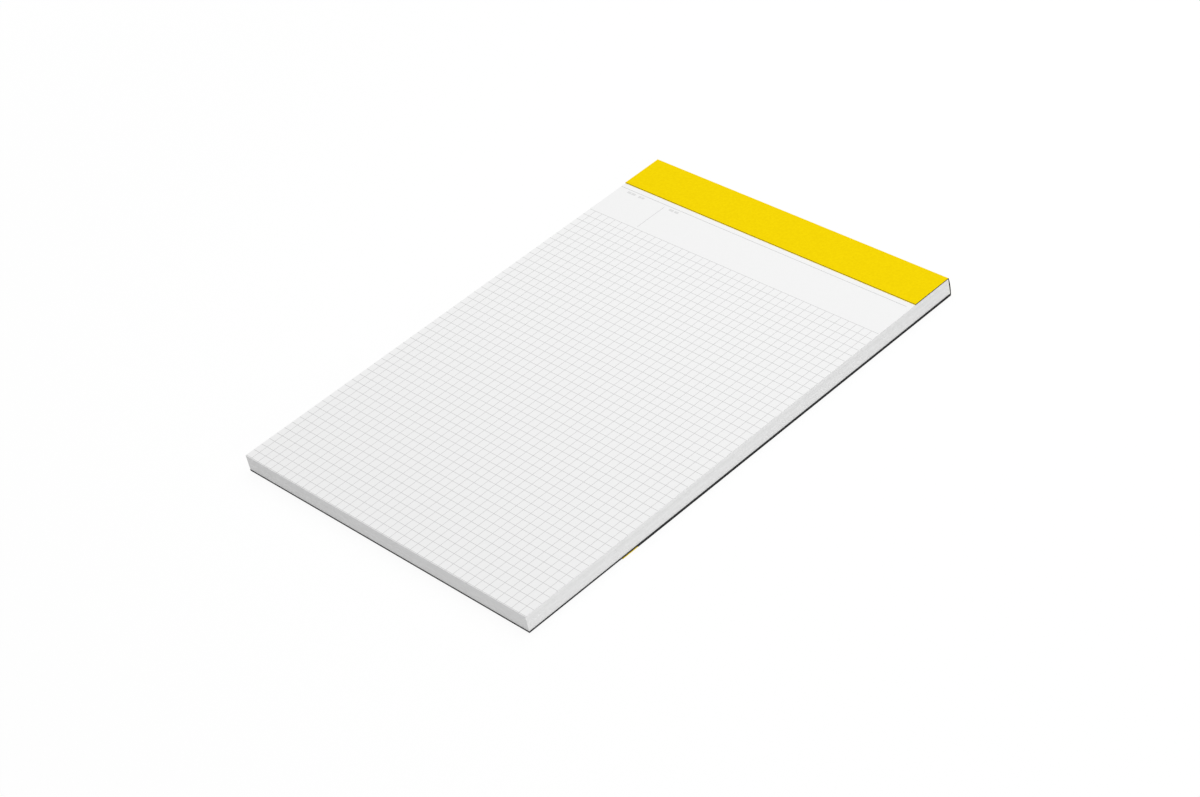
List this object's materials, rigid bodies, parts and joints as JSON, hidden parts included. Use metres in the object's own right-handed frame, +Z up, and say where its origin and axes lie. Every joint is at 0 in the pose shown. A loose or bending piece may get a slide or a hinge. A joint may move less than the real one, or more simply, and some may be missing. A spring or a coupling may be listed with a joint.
{
  "type": "grid notepad",
  "caption": "Top-bound writing pad of squared paper on a dark backing board, with a card cover folded over its glued head.",
  "frame": {"origin": "on the surface that the pad lies on, under the middle of its bounding box", "axes": "+X across the page to its right edge, +Y up the page to the bound head, +Z up out of the page"},
  "size_m": [0.2042, 0.2932, 0.0109],
  "materials": {
    "paper": "smooth white writing paper with a pale grey printed grid",
    "glue": "dried white padding glue",
    "board": "dark grey uncoated board",
    "cover_card": "uncoated card, yellow on the side that faces out and black behind"
  },
  "bodies": {
    "root": {"sheet_block": "paper", "head_glue": "glue", "backing_board": "board", "cover": "cover_card"}
  },
  "joints": []
}
